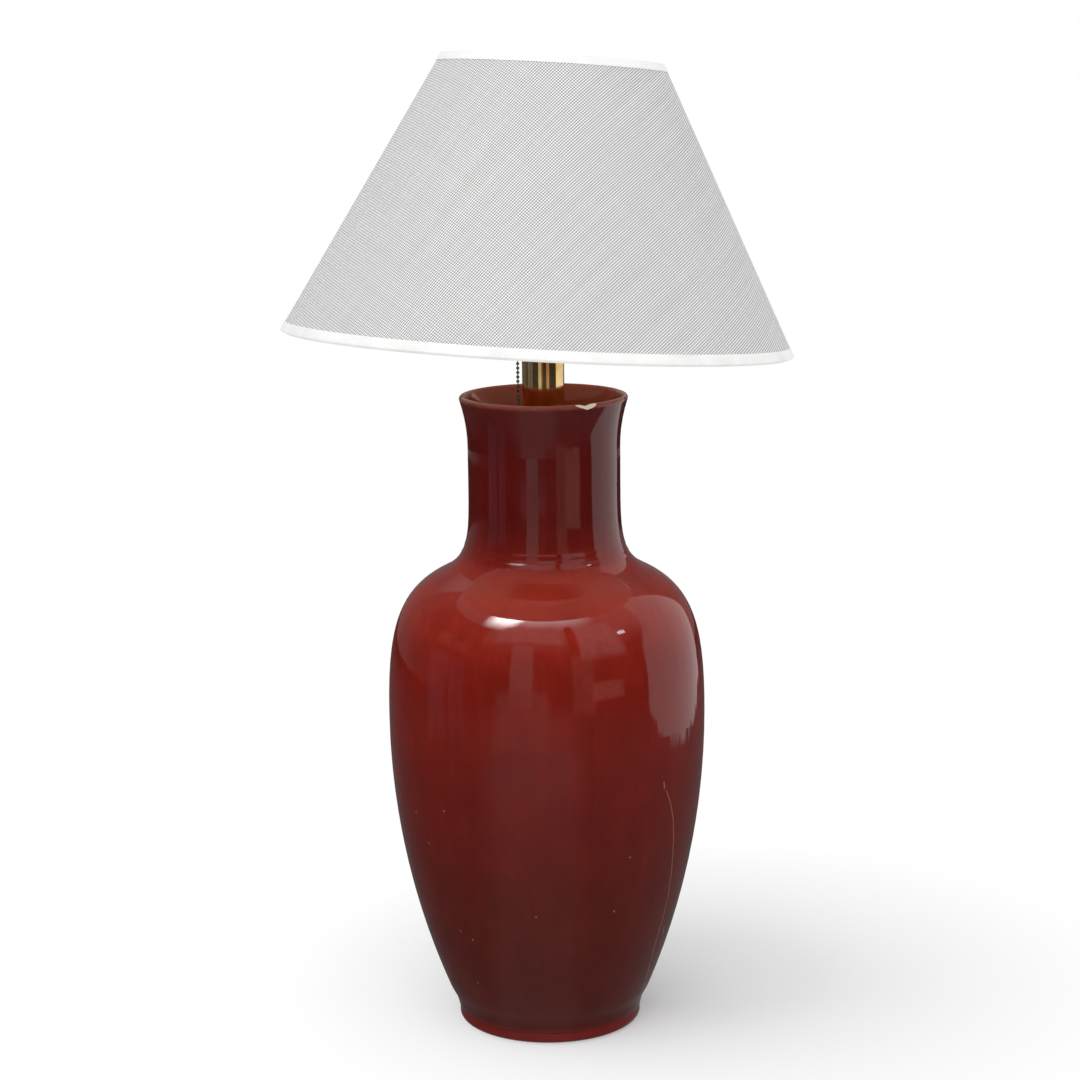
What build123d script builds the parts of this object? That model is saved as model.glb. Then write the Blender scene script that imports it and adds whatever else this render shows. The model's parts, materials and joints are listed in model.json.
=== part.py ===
from build123d import *

import os
from math import atan2, cos, hypot, radians, sin

os.makedirs("parts", exist_ok=True)

# Vase lamp in millimetres, +Z up. The origin is on the table under the middle of the foot,
# and -Y is the side that faces the viewer.

# Fits
thread_play = 0.05
pin_play = 0.05
seat_play = 0.10
glue_line = 0.05
free_gap = 0.3

# Felt and vase, radii from the axis and heights above the vase's foot
felt_thickness = 1.5
felt_margin = 2.5
sole_radius = 79.5
bead_radius = 84.4
bead_height = 5.0
crease_radius = 83.8
crease_height = 10.0
waist_radius = 84.7
waist_height = 11.0
waist_lean = 13.0
waist_handle = 17.5
hip_radius = 95.6
hip_height = 37.7
belly_radius = 145.0
belly_height = 293.5
belly_handle = 77.8
shoulder_radius = 95.6
shoulder_height = 424.8
shoulder_lean = 64.0
shoulder_handle = 44.0
neck_root_pull = 0.318
throat_radius = 69.0
throat_height = 527.5
throat_pull = 0.65
collar_length = 11.0
lip_radius = 76.0
lip_height = 582.0
vase_wall = 6.0
neck_ring_places = (0.24, 0.315)
neck_ring_half = 0.024
neck_ring_rise = 0.3
neck_ring_root = 1.0
chip_heading = 31.0
chip_tilt = 30.0
chip_left = 14.8
chip_right = 11.5
chip_kink = 4.7
chip_kink_level = 1.0
chip_level = -0.6
recess_radius = 70.0
recess_depth = 14.0
floor_thickness = 9.0
floor_corner = 76.0
rod_hole_gap = 1.0

# Cord inlet in the back of the foot
cord_bore = 3.0
bush_wall = 0.9
bush_flange = 1.0
bush_flange_thickness = 1.2
bush_height = 5.2

# Rod and its fasteners
rod_radius = 5.0
rod_bore = 3.5
rod_tail = 1.5
nut_flats = 14.0
nut_height = 5.0
washer_radius = 19.0
washer_thickness = 2.0
gasket_radius = 20.0
gasket_thickness = 3.0

# Plate in the throat, sleeve and its lid
cap_thickness = 2.0
seal_height = 9.0
seal_width = 4.5
seal_groove = 2.0
sleeve_radius = 19.0
sleeve_wall = 1.0
sleeve_length = 143.5
lid_thickness = 3.0
lid_lip = 0.8
lid_spigot = 4.0

# Saddle, harp and ferrules
saddle_thickness = 1.6
saddle_width = 12.0
saddle_bend = 5.0
tongue_width = 6.0
tongue_rise = 6.0
tongue_fall = 7.0
ear_height = 30.0
ear_gap = 6.3
lean_angle = 5.0
lean_heading = 41.4
leg_slip = 0.1
leg_thickness = 1.5
leg_foot = 5.5
leg_head = 10.0
leg_lap = 1.5
dimple_radius = 1.2
leg_straight = 34.0
wire_radius = 2.0
harp_half_width = 57.0
harp_rise = 146.0
harp_flat = 7.0
ferrule_wall = 1.1
ferrule_half_height = 6.0
collar_radius = 6.5
collar_below = 1.0
collar_above = 4.0
stud_radius = 3.1
stud_length = 14.0

# Lampholder for an E27 bulb, heights from the top of the saddle
screw_bore = 13.45
screw_wall = 0.5
screw_length = 21.0
screw_flange = 2.0
insulation_gap = 2.35
liner_wall = 0.8
shell_wall = 0.7
shell_length = 46.0
shell_rim = 0.6
shell_rim_height = 2.0
socket_cap_wall = 0.9
socket_hub_radius = 7.0
socket_hub_height = 9.0
dome_start = 2.0
skirt_height = 4.5
shell_seat = 0.2
liner_margin = 2.0
body_lift = 0.6
body_height = 21.0
pocket_half_width = 7.2
pocket_roof = 6.5
pocket_depth = 8.0
contact_length = 9.0
contact_foot = 5.0
contact_rise = 2.5
contact_ramp = 2.5
contact_tail = 3.0
contact_thickness = 0.5
contact_width = 6.0
terminal_heading = 45.0
terminal_height = 7.0
terminal_shank = 1.6
terminal_shank_length = 6.0
terminal_head = 3.0
terminal_head_height = 2.0
terminal_seat = 11.0
terminal_pocket = 8.0
terminal_slot = 0.8
terminal_slot_depth = 0.9

# Pull switch and chain
chain_gap = 1.45
bead_size = 1.5
bead_pitch = 4.0
link_radius = 0.45
bead_seat = 2.5
first_bead_drop = 6.0
chain_reach = 8.0
bell_length = 9.0
bell_top = 1.6
bell_mouth = 3.2
lever_arm = 16.25
lever_swing = 28.0
lever_rise = 9.7
lever_thickness = 2.0
lever_boss = 3.2
lever_root = 2.0
lever_tip = 0.8
fork_length = 6.0
fork_width = 6.0
fork_slot = 1.3
fork_slot_lead = 1.3
lever_slot_play = 0.4
lever_slot_half = 5.6
pin_radius = 1.25
pin_length = 24.0
rotor_radius = 5.5
rotor_width = 5.0
rotor_side_gap = 0.6
rotor_notch = 1.2
rotor_notches = 4
spring_turns = 3
spring_radius = 2.6
spring_pitch = 1.3
spring_wire = 0.35
spring_side_gap = 0.9
spring_leg = 1.6
guide_wall = 0.8
guide_end_gap = 0.5
guide_head_room = 1.1

# Bulb, heights above its contact
bulb_radius = 30.0
bulb_length = 105.0
bulb_glass_wall = 0.8
bulb_neck = 13.9
bulb_neck_bottom = 23.7
bulb_neck_top = 30.0
bulb_cheek = 35.0
bulb_neck_handle = 14.0
bulb_cheek_handle = 12.0
tip_radius = 4.6
tip_height = 2.2
insulator_radius = 11.4
insulator_top = 6.0
thread_root = 12.2
thread_crest = 13.15
thread_pitch = 3.63
thread_crests = 4
bulb_cap_wall = 0.4
bulb_cap_lap = 3.3
stem_flare = 1.0
stem_foot = 4.0
stem_foot_rise = 6.0
stem_head = 3.0
stem_top = 50.0
filament_radius = 0.4
filament_foot = 2.2
filament_span = 14.0
filament_rise = 22.0
filament_bow = 6.0
filament_bend = 4.0

# Shade, radii and heights square to its leaning axis
shade_bottom_radius = 228.6
shade_top_radius = 98.5
shade_height = 249.0
shade_drop = 75.2
cover_thickness = 0.6
liner_thickness = 0.4
ring_wire = 1.5
ring_lift = 0.2
tape_thickness = 0.5
tape_outside_bottom = 8.5
tape_outside_top = 7.5
tape_inside = 6.0
spider_arms = 3
spider_arm_wire = 1.5
spider_arm_start = 8.5
spider_arm_turn = 30.0
spider_washer = 11.0
spider_washer_thickness = 1.6

# Finial
finial_nut_wall = 1.5
finial_nut_height = 10.0
finial_base = 6.8
finial_base_height = 2.5
finial_waist = 5.8
finial_waist_height = 4.0
finial_ball = 7.4
finial_ball_height = 12.0
finial_bore_height = 14.5

# Levels of the stack, from the table up
foot_z = felt_thickness
recess_z = foot_z + recess_depth
gasket_z = recess_z - gasket_thickness
washer_z = gasket_z - washer_thickness
base_nut_z = washer_z - nut_height
rod_bottom = base_nut_z - rod_tail
seal_z = foot_z + throat_height
cap_z = seal_z + (seal_height - cap_thickness) / 2
sleeve_z = cap_z + cap_thickness
lid_z = sleeve_z + sleeve_length
saddle_z = lid_z + lid_thickness
hub_z = saddle_z + saddle_thickness
rod_top = hub_z + socket_hub_height
pivot_z = saddle_z + ear_height

# Radii of the lampholder, from the screw shell out
screw_outer = screw_bore + screw_wall
liner_inner = screw_outer + insulation_gap
liner_outer = liner_inner + liner_wall
shell_inner = liner_outer + seat_play
shell_outer = shell_inner + shell_wall
socket_cap_inner = shell_outer + seat_play
socket_cap_outer = socket_cap_inner + socket_cap_wall
body_radius = liner_inner - seat_play
rod_hole = rod_radius + thread_play

# Levels of the lampholder
dome_radius = socket_cap_outer - socket_hub_radius
dome_top = hub_z + dome_start + dome_radius
shell_z = dome_top + shell_seat
shell_top = shell_z + shell_length
body_z = shell_z + body_lift
body_top = body_z + body_height
bulb_z = body_top + contact_rise + contact_thickness + free_gap

# Chain and lever, which swings as far below the level as it rests above it
lid_radius = sleeve_radius + lid_lip
chain_x = -(max(lid_radius, socket_cap_outer) + chain_gap + bead_size)
half_swing = radians(lever_swing / 2)
lever_x = chain_x + lever_arm * cos(half_swing)
lever_z = body_z + lever_rise
eye_z = lever_z + lever_arm * sin(half_swing)
slot_half_width = fork_width / 2 + lever_slot_play

# The harp rocks on the ears of the saddle, and leans with the shade to one side
heading = radians(lean_heading)
lean = radians(lean_angle)
across = Vector(-sin(heading), cos(heading), 0)
lean_up = Vector(sin(lean) * cos(heading), sin(lean) * sin(heading), cos(lean))
harp_frame = Plane((0, 0, pivot_z), x_dir=across, z_dir=lean_up)
harp_section = Plane(harp_frame.origin, x_dir=across, z_dir=-harp_frame.y_dir)
harp_axis = Axis(harp_frame.origin, lean_up)
rock_frame = Plane(harp_frame.origin, x_dir=harp_frame.y_dir, z_dir=across)
saddle_frame = Plane((0, 0, saddle_z), x_dir=across, z_dir=(0, 0, 1))
saddle_section = Plane(saddle_frame.origin, x_dir=across, z_dir=-saddle_frame.y_dir)
ear_inner = socket_cap_outer + ear_gap
ear_outer = ear_inner + saddle_thickness
leg_x = ear_outer + leg_slip + leg_thickness / 2
ferrule_x = (ear_inner + ear_outer + leg_slip + leg_thickness) / 2

# Bore of a ferrule: it clears the leg, the wire and the tongue, which leans in it both ways
tongue_reach = tongue_width / 2 * cos(lean) + tongue_rise * sin(lean)
leg_half_depth = ferrule_x - ear_inner
ferrule_bore = max(
    hypot(leg_half_depth, tongue_reach) + free_gap,
    leg_x - ferrule_x + wire_radius + free_gap,
)

# Slant of the shade, with a frame at each of its edges that points in through the wall
slant = atan2(shade_bottom_radius - shade_top_radius, shade_height)
slant_length = hypot(shade_bottom_radius - shade_top_radius, shade_height)
slant_in = -across * cos(slant) - lean_up * sin(slant)


def on_harp(radius, height):
    """A point at that radius along the harp and height up the leaning axis."""
    return harp_frame.origin + across * radius + lean_up * height


shade_bottom = Plane(
    on_harp(shade_bottom_radius, -shade_drop), x_dir=slant_in, z_dir=harp_frame.y_dir
)
shade_top = Plane(
    on_harp(shade_top_radius, shade_height - shade_drop),
    x_dir=slant_in,
    z_dir=harp_frame.y_dir,
)
panel = cover_thickness + glue_line + liner_thickness
ring_in = panel + glue_line + ring_wire
ring_up = ring_lift + ring_wire
tape_inner_face = panel + 2 * (glue_line + ring_wire)
top_ring_radius = shade_top_radius - ring_in * cos(slant) + ring_up * sin(slant)
top_ring_z = shade_height - shade_drop - ring_in * sin(slant) - ring_up * cos(slant)

# Seats at the top of the harp
spider_z = harp_rise + collar_above
spider_top = spider_z + spider_washer_thickness


def turned(outline, section=Plane.XZ, axis=Axis.Z):
    """A plain turned piece from its corners, each a radius and a height."""
    with BuildPart() as piece:
        with BuildSketch(section):
            with BuildLine():
                Polyline(*outline, close=True)
            make_face()
        revolve(axis=axis)
    return piece


def ring(inner, outer, bottom, top):
    """A flat washer or a straight tube round the lamp's axis."""
    return turned([(inner, bottom), (outer, bottom), (outer, top), (inner, top)])


def hex_nut(bottom):
    """A hexagon nut on the rod."""
    with BuildPart() as nut:
        with BuildSketch(Plane.XY.offset(bottom)):
            RegularPolygon(nut_flats / 2, 6, major_radius=False)
            Circle(rod_hole, mode=Mode.SUBTRACT)
        extrude(amount=nut_height)
    return nut


def inset(edge, place, wall):
    """The point one wall inside an outline, opposite a place on one of its edges."""
    along = edge % place
    inward = Vector(-along.Y, along.X) if along.Y > 0 else Vector(along.Y, -along.X)
    return edge @ place + inward * wall


def side_slot():
    """The slot for the lever, cut through a wall of the lampholder on the chain's side."""
    with Locations((-shell_outer, 0, lever_z)):
        Box(shell_outer, 2 * slot_half_width, 2 * lever_slot_half, mode=Mode.SUBTRACT)


# Base
base_felt = ring(0, sole_radius - felt_margin, 0, felt_thickness)

shoulder_way = Vector(-sin(radians(shoulder_lean)), cos(radians(shoulder_lean)))
waist_way = Vector(-sin(radians(waist_lean)), -cos(radians(waist_lean)))
upright = Vector(0, 1)
belly = Vector(belly_radius, belly_height)
shoulder = Vector(shoulder_radius, shoulder_height)
throat = Vector(throat_radius, throat_height)
neck_root_handle = neck_root_pull * (throat_height - shoulder_height)
throat_handle = throat_pull * (throat_height - shoulder_height)
flare_start = throat + upright * collar_length
hip = Vector(hip_radius, hip_height)
waist = Vector(waist_radius, waist_height)
floor_top = recess_depth + floor_thickness
vase_section = Plane((0, 0, foot_z), x_dir=(1, 0, 0), z_dir=(0, -1, 0))

with BuildPart() as vase:
    with BuildSketch(vase_section):
        with BuildLine():
            # Outside, from the belly up to the lip
            crown = Bezier(
                belly,
                belly + upright * belly_handle,
                shoulder - shoulder_way * shoulder_handle,
                shoulder,
            )
            neck_root = Bezier(
                shoulder,
                shoulder + shoulder_way * neck_root_handle,
                throat - upright * throat_handle,
                throat,
            )
            Line(throat, flare_start)
            flare = TangentArc(flare_start, (lip_radius, lip_height), tangent=upright)
            # Outside, from the belly down to the sole
            body = TangentArc(belly, hip, tangent=-upright)
            Bezier(
                hip,
                hip + (body % 1) * waist_handle,
                waist - waist_way * waist_handle,
                waist,
            )
            Line(waist, (crease_radius, crease_height))
            bead = TangentArc((sole_radius, 0), (bead_radius, bead_height), tangent=(1, 0))
            TangentArc(bead @ 1, (crease_radius, crease_height), tangent=bead % 1)
            # Rounded lip, then the inside down to the floor, and the recess under it
            TangentArc(flare @ 1, inset(flare, 1, vase_wall), tangent=flare % 1)
            TangentArc(inset(flare, 0, vase_wall), inset(flare, 1, vase_wall), tangent=upright)
            Line(inset(neck_root, 1, vase_wall), inset(flare, 0, vase_wall))
            Bezier(
                inset(neck_root, 0, vase_wall),
                inset(neck_root, 0, vase_wall) + shoulder_way * neck_root_handle,
                inset(neck_root, 1, vase_wall) - upright * throat_handle,
                inset(neck_root, 1, vase_wall),
            )
            Bezier(
                inset(crown, 0, vase_wall),
                inset(crown, 0, vase_wall) + upright * belly_handle,
                inset(crown, 1, vase_wall) - shoulder_way * shoulder_handle,
                inset(crown, 1, vase_wall),
            )
            TangentArc(inset(body, 0, vase_wall), inset(body, 1, vase_wall), tangent=-upright)
            Polyline(
                inset(body, 1, vase_wall),
                (floor_corner, floor_top),
                (rod_radius + rod_hole_gap, floor_top),
                (rod_radius + rod_hole_gap, recess_depth),
                (recess_radius, recess_depth),
                (recess_radius, 0),
                (sole_radius, 0),
            )
        make_face()
    revolve(axis=Axis.Z)
    # Two fine rings where the neck rises from the shoulder
    with BuildSketch(vase_section):
        for place in neck_ring_places:
            low, high = place - neck_ring_half, place + neck_ring_half
            with BuildLine():
                ThreePointArc(
                    neck_root @ low, inset(neck_root, place, -neck_ring_rise), neck_root @ high
                )
                Polyline(
                    neck_root @ high,
                    inset(neck_root, high, neck_ring_root),
                    inset(neck_root, low, neck_ring_root),
                    neck_root @ low,
                )
            make_face()
    revolve(axis=Axis.Z)
    # Chip in the lip, where a flake has broken off down and outwards
    lip_middle = (flare @ 1 + inset(flare, 1, vase_wall)) / 2
    chip_way = radians(chip_heading)
    chip_fall = radians(chip_tilt)
    chip_out = Vector(sin(chip_way), -cos(chip_way), 0)
    chip_face = Plane(
        chip_out * lip_middle.X + Vector(0, 0, foot_z + lip_middle.Y),
        x_dir=(cos(chip_way), sin(chip_way), 0),
        z_dir=chip_out * cos(chip_fall) - Vector(0, 0, sin(chip_fall)),
    )
    with BuildSketch(chip_face):
        with BuildLine():
            Polyline(
                (-chip_left, vase_wall),
                (-chip_left, vase_wall / 2),
                (-chip_kink, chip_kink_level),
                (0, chip_level),
                (chip_right, vase_wall / 2),
                (chip_right, vase_wall),
                close=True,
            )
        make_face()
    extrude(amount=2 * vase_wall, both=True, mode=Mode.SUBTRACT)
    # Hole for the cord's bush
    bush_radius = cord_bore + bush_wall
    bush_z = foot_z + bush_height
    with BuildSketch(Plane((0, 0, bush_z), x_dir=(1, 0, 0), z_dir=(0, 1, 0))):
        Circle(bush_radius + seat_play)
    extrude(amount=waist_radius + bead_radius, mode=Mode.SUBTRACT)

with BuildPart() as cord_bush:
    with BuildSketch(Plane((0, recess_radius, bush_z), x_dir=(1, 0, 0), z_dir=(0, 1, 0))):
        Circle(bush_radius)
    extrude(amount=bead_radius + seat_play - recess_radius)
    flange_face = Plane((0, bead_radius + seat_play, bush_z), x_dir=(1, 0, 0), z_dir=(0, 1, 0))
    with BuildSketch(flange_face):
        Circle(bush_radius + bush_flange)
    extrude(amount=bush_flange_thickness)
    with BuildSketch(flange_face):
        Circle(cord_bore)
    extrude(amount=bead_radius, both=True, mode=Mode.SUBTRACT)

# Rod and what clamps the vase
base_gasket = ring(rod_hole, gasket_radius, gasket_z, recess_z)
base_washer = ring(rod_hole, washer_radius, washer_z, gasket_z)
base_nut = hex_nut(base_nut_z)
threaded_rod = ring(rod_bore, rod_radius, rod_bottom, rod_top)
neck_nut = hex_nut(sleeve_z)

# Plate in the throat with its rubber edge
seal_outer = throat_radius - vase_wall - seat_play
seal_inner = seal_outer - seal_width
groove_radius = seal_inner + seal_groove
neck_cap = ring(rod_hole, groove_radius - thread_play, cap_z, sleeve_z)
neck_seal = turned(
    [
        (seal_inner, seal_z),
        (seal_outer, seal_z),
        (seal_outer, seal_z + seal_height),
        (seal_inner, seal_z + seal_height),
        (seal_inner, sleeve_z + thread_play),
        (groove_radius, sleeve_z + thread_play),
        (groove_radius, cap_z - thread_play),
        (seal_inner, cap_z - thread_play),
    ]
)

# Brass sleeve and its lid
sleeve_inner = sleeve_radius - sleeve_wall
stem_sleeve = ring(sleeve_inner, sleeve_radius, sleeve_z, lid_z)
check_ring = turned(
    [
        (rod_hole, lid_z - lid_spigot),
        (sleeve_inner - seat_play, lid_z - lid_spigot),
        (sleeve_inner - seat_play, lid_z),
        (lid_radius, lid_z),
        (lid_radius, saddle_z),
        (rod_hole, saddle_z),
    ]
)

# Saddle: a strip bent up at both ends, narrowed to tongues
tongue_top = ear_height + tongue_rise
shoulder_level = ear_height - tongue_fall
with BuildPart() as harp_saddle:
    with BuildSketch(saddle_section):
        with BuildLine():
            FilletPolyline(
                (-ear_outer, tongue_top),
                (-ear_outer, 0),
                (ear_outer, 0),
                (ear_outer, tongue_top),
                radius=saddle_bend,
            )
            FilletPolyline(
                (-ear_inner, tongue_top),
                (-ear_inner, saddle_thickness),
                (ear_inner, saddle_thickness),
                (ear_inner, tongue_top),
                radius=saddle_bend - saddle_thickness,
            )
            Line((-ear_outer, tongue_top), (-ear_inner, tongue_top))
            Line((ear_inner, tongue_top), (ear_outer, tongue_top))
        make_face()
    extrude(amount=saddle_width / 2, both=True)
    with BuildSketch(saddle_frame.offset(shoulder_level)):
        for side in (1, -1):
            with Locations((0, side * (tongue_width + saddle_width) / 2)):
                Rectangle(3 * ear_outer, saddle_width)
    extrude(amount=tongue_top, mode=Mode.SUBTRACT)
    with BuildSketch(saddle_frame):
        Circle(rod_hole)
    extrude(amount=saddle_thickness, mode=Mode.SUBTRACT)
    # Holes in the tongues that the harp rocks in
    with BuildSketch(rock_frame):
        Circle(dimple_radius + pin_play)
    extrude(amount=ear_outer, both=True, mode=Mode.SUBTRACT)

# Harp: flat feet beside the tongues, each with a dimple in the tongue's hole, and one bent wire
harp_bend = harp_half_width - harp_flat
harp_side = harp_rise - harp_bend
leg_wire = leg_head - leg_lap
with BuildPart() as harp:
    with BuildLine(harp_section) as loop:
        for side in (1, -1):
            straight_end = (side * leg_x, leg_straight)
            half_way = (side * (leg_x + harp_half_width) / 2, (leg_straight + harp_side) / 2)
            widest = (side * harp_half_width, harp_side)
            Line((side * leg_x, leg_wire), straight_end)
            TangentArc(straight_end, half_way, tangent=lean_up)
            TangentArc(widest, half_way, tangent=-lean_up)
            TangentArc(widest, (side * harp_flat, harp_rise), tangent=lean_up)
        Line((harp_flat, harp_rise), (-harp_flat, harp_rise))
    with BuildSketch(Plane(loop.wire() @ 0, z_dir=loop.wire() % 0)):
        Circle(wire_radius)
    sweep(path=loop.wire())
    with BuildSketch(harp_section):
        with Locations(*[(side * leg_x, (leg_head - leg_foot) / 2) for side in (1, -1)]):
            Rectangle(leg_thickness, leg_head + leg_foot)
    extrude(amount=tongue_width / 2, both=True)
    for side in (1, -1):
        with BuildSketch(rock_frame.offset(side * leg_x)):
            Circle(dimple_radius)
        extrude(amount=side * (ear_inner - leg_x))

with BuildPart() as harp_stud:
    with BuildSketch(harp_frame.offset(harp_rise - collar_below)):
        Circle(collar_radius)
    extrude(amount=collar_below + collar_above)
    with BuildSketch(harp_frame.offset(spider_z)):
        Circle(stud_radius)
    extrude(amount=stud_length)
    with BuildSketch(Plane(on_harp(0, harp_rise), x_dir=harp_frame.y_dir, z_dir=across)):
        Circle(wire_radius + thread_play)
    extrude(amount=collar_radius, both=True, mode=Mode.SUBTRACT)


def ferrule(side):
    """The sleeve that holds a leg of the harp to its tongue."""
    with BuildPart() as piece:
        with BuildSketch(harp_frame.offset(-ferrule_half_height)):
            with Locations((side * ferrule_x, 0)):
                Circle(ferrule_bore + ferrule_wall)
                Circle(ferrule_bore, mode=Mode.SUBTRACT)
        extrude(amount=2 * ferrule_half_height)
    return piece


ferrule_back = ferrule(1)
ferrule_front = ferrule(-1)

# Lampholder
with BuildPart() as socket_cap:
    with BuildSketch(Plane.XZ):
        with BuildLine():
            dome = (socket_hub_radius, dome_top)
            inner_dome = dome_radius - socket_cap_wall
            CenterArc(dome, dome_radius, -90, 90)
            CenterArc(dome, inner_dome, -90, 90)
            Polyline(
                (socket_cap_outer, dome_top),
                (socket_cap_outer, dome_top + skirt_height),
                (socket_cap_inner, dome_top + skirt_height),
                (socket_cap_inner, dome_top),
            )
            Polyline(
                (socket_hub_radius, dome_top - inner_dome),
                (socket_hub_radius, rod_top),
                (rod_hole, rod_top),
                (rod_hole, hub_z),
                (socket_hub_radius, hub_z),
                (socket_hub_radius, hub_z + dome_start),
            )
        make_face()
    revolve(axis=Axis.Z)

with BuildPart() as socket_shell:
    with BuildSketch(Plane.XZ):
        with BuildLine():
            Polyline(
                (shell_inner, shell_z),
                (shell_outer, shell_z),
                (shell_outer, shell_top - shell_rim_height),
                (shell_outer + shell_rim, shell_top - shell_rim_height / 2),
                (shell_outer, shell_top),
                (shell_inner, shell_top),
                close=True,
            )
        make_face()
    revolve(axis=Axis.Z)
    side_slot()

with BuildPart() as socket_liner:
    with BuildSketch(Plane.XY.offset(body_z)):
        Circle(liner_outer)
        Circle(liner_inner, mode=Mode.SUBTRACT)
    extrude(amount=shell_top - liner_margin - body_z)
    side_slot()

pin_frame = Plane((lever_x, 0, lever_z), x_dir=(1, 0, 0), z_dir=(0, 1, 0))


def terminal_face(turn):
    """The seat of a terminal screw in the body, looking out."""
    way = Vector(cos(radians(turn)), sin(radians(turn)), 0)
    return Plane(way * terminal_seat + Vector(0, 0, body_z + terminal_height), z_dir=way)


terminal_faces = [terminal_face(turn) for turn in (terminal_heading, -terminal_heading)]
pocket_end = lever_x + pocket_depth

with BuildPart() as socket_body:
    with BuildSketch(Plane.XY.offset(body_z)):
        Circle(body_radius)
    extrude(amount=body_height)
    # Pocket for the switch, open below and towards the chain
    with BuildSketch(Plane.XY.offset(body_z)):
        with Locations((pocket_end, 0)):
            Rectangle(
                pocket_end + body_radius, 2 * pocket_half_width, align=(Align.MAX, Align.CENTER)
            )
    extrude(amount=lever_z + pocket_roof - body_z, mode=Mode.SUBTRACT)
    # Holes for the pin and the terminal screws
    with BuildSketch(pin_frame):
        Circle(pin_radius + thread_play)
    extrude(amount=pin_length / 2, both=True, mode=Mode.SUBTRACT)
    for face in terminal_faces:
        with BuildSketch(face):
            Rectangle(terminal_pocket, terminal_pocket)
        extrude(amount=body_radius, mode=Mode.SUBTRACT)
        with BuildSketch(face):
            Circle(terminal_shank + thread_play)
        extrude(amount=-terminal_shank_length, mode=Mode.SUBTRACT)

with BuildPart() as terminal_screws:
    for face in terminal_faces:
        with BuildSketch(face):
            Circle(terminal_shank)
        extrude(amount=-terminal_shank_length)
        with BuildSketch(face):
            Circle(terminal_head)
        extrude(amount=terminal_head_height)
        with BuildSketch(face.offset(terminal_head_height)):
            Rectangle(2 * terminal_head, terminal_slot)
        extrude(amount=-terminal_slot_depth, mode=Mode.SUBTRACT)

screw_shell = turned(
    [
        (screw_bore, body_top),
        (screw_bore + screw_flange, body_top),
        (screw_bore + screw_flange, body_top + screw_wall),
        (screw_outer, body_top + screw_wall),
        (screw_outer, body_top + screw_length),
        (screw_bore, body_top + screw_length),
    ]
)

# Springy tongue under the bulb's tip
contact_knee = contact_length - contact_foot
contact_crown = contact_knee - contact_ramp
contact_z = body_top + contact_rise
with BuildPart() as centre_contact:
    with BuildSketch(Plane.XZ):
        with BuildLine():
            Polyline(
                (contact_length, body_top),
                (contact_knee, body_top),
                (contact_crown, contact_z),
                (-contact_tail, contact_z),
                (-contact_tail, contact_z + contact_thickness),
                (contact_crown, contact_z + contact_thickness),
                (contact_knee, body_top + contact_thickness),
                (contact_length, body_top + contact_thickness),
                close=True,
            )
        make_face()
    extrude(amount=contact_width / 2, both=True)

# Pull switch
with BuildPart() as lever_pin:
    with BuildSketch(pin_frame):
        Circle(pin_radius)
    extrude(amount=pin_length / 2, both=True)

with BuildPart() as switch_rotor:
    with BuildSketch(pin_frame.offset(lever_thickness / 2 + rotor_side_gap)):
        Circle(rotor_radius)
        Circle(pin_radius + pin_play, mode=Mode.SUBTRACT)
        with PolarLocations(rotor_radius, rotor_notches):
            Circle(rotor_notch, mode=Mode.SUBTRACT)
    extrude(amount=rotor_width)

lever_way = (-cos(half_swing), 0, sin(half_swing))
lever_frame = Plane((lever_x, 0, lever_z), x_dir=lever_way, z_dir=(0, 1, 0))
arm_end = lever_arm - fork_length / 2
with BuildPart() as pull_lever:
    with BuildSketch(lever_frame):
        Circle(lever_boss)
        with BuildLine():
            Polyline(
                (0, lever_root),
                (arm_end, lever_tip),
                (arm_end, -lever_tip),
                (0, -lever_root),
                close=True,
            )
        make_face()
    extrude(amount=lever_thickness / 2, both=True)
    # Fork that the chain's top bead hangs in
    with BuildSketch(lever_frame):
        with Locations((lever_arm, 0)):
            Rectangle(fork_length, 2 * lever_tip)
    extrude(amount=fork_width / 2, both=True)
    with BuildSketch(lever_frame):
        with Locations((lever_arm - fork_slot_lead, 0)):
            Rectangle(fork_length, 4 * lever_tip, align=(Align.MIN, Align.CENTER))
    extrude(amount=fork_slot / 2, both=True, mode=Mode.SUBTRACT)
    with BuildSketch(lever_frame):
        Circle(pin_radius + pin_play)
    extrude(amount=lever_thickness, both=True, mode=Mode.SUBTRACT)

# Return spring round the pin: half turns, each a level arc tipped by half the pitch
spring_y = -(lever_thickness / 2 + spring_side_gap)
spring_frame = Plane((lever_x, spring_y, lever_z), x_dir=(1, 0, 0), z_dir=(0, -1, 0))
spring_bulge = hypot(spring_radius, spring_pitch / 4)
spring_length = spring_turns * spring_pitch
with BuildPart() as return_spring:
    with BuildLine(spring_frame) as coil:
        Line((spring_radius, -spring_leg, 0), (spring_radius, 0, 0))
        for half in range(2 * spring_turns):
            side = 1 - 2 * (half % 2)
            along = half * spring_pitch / 2
            ThreePointArc(
                (side * spring_radius, 0, along),
                (0, side * spring_bulge, along + spring_pitch / 4),
                (-side * spring_radius, 0, along + spring_pitch / 2),
            )
        Line((spring_radius, 0, spring_length), (spring_radius, spring_leg, spring_length))
    with BuildSketch(Plane.XY.offset(lever_z - spring_leg)):
        with Locations((lever_x + spring_radius, spring_y)):
            Circle(spring_wire)
    sweep(path=coil.wire())

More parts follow.
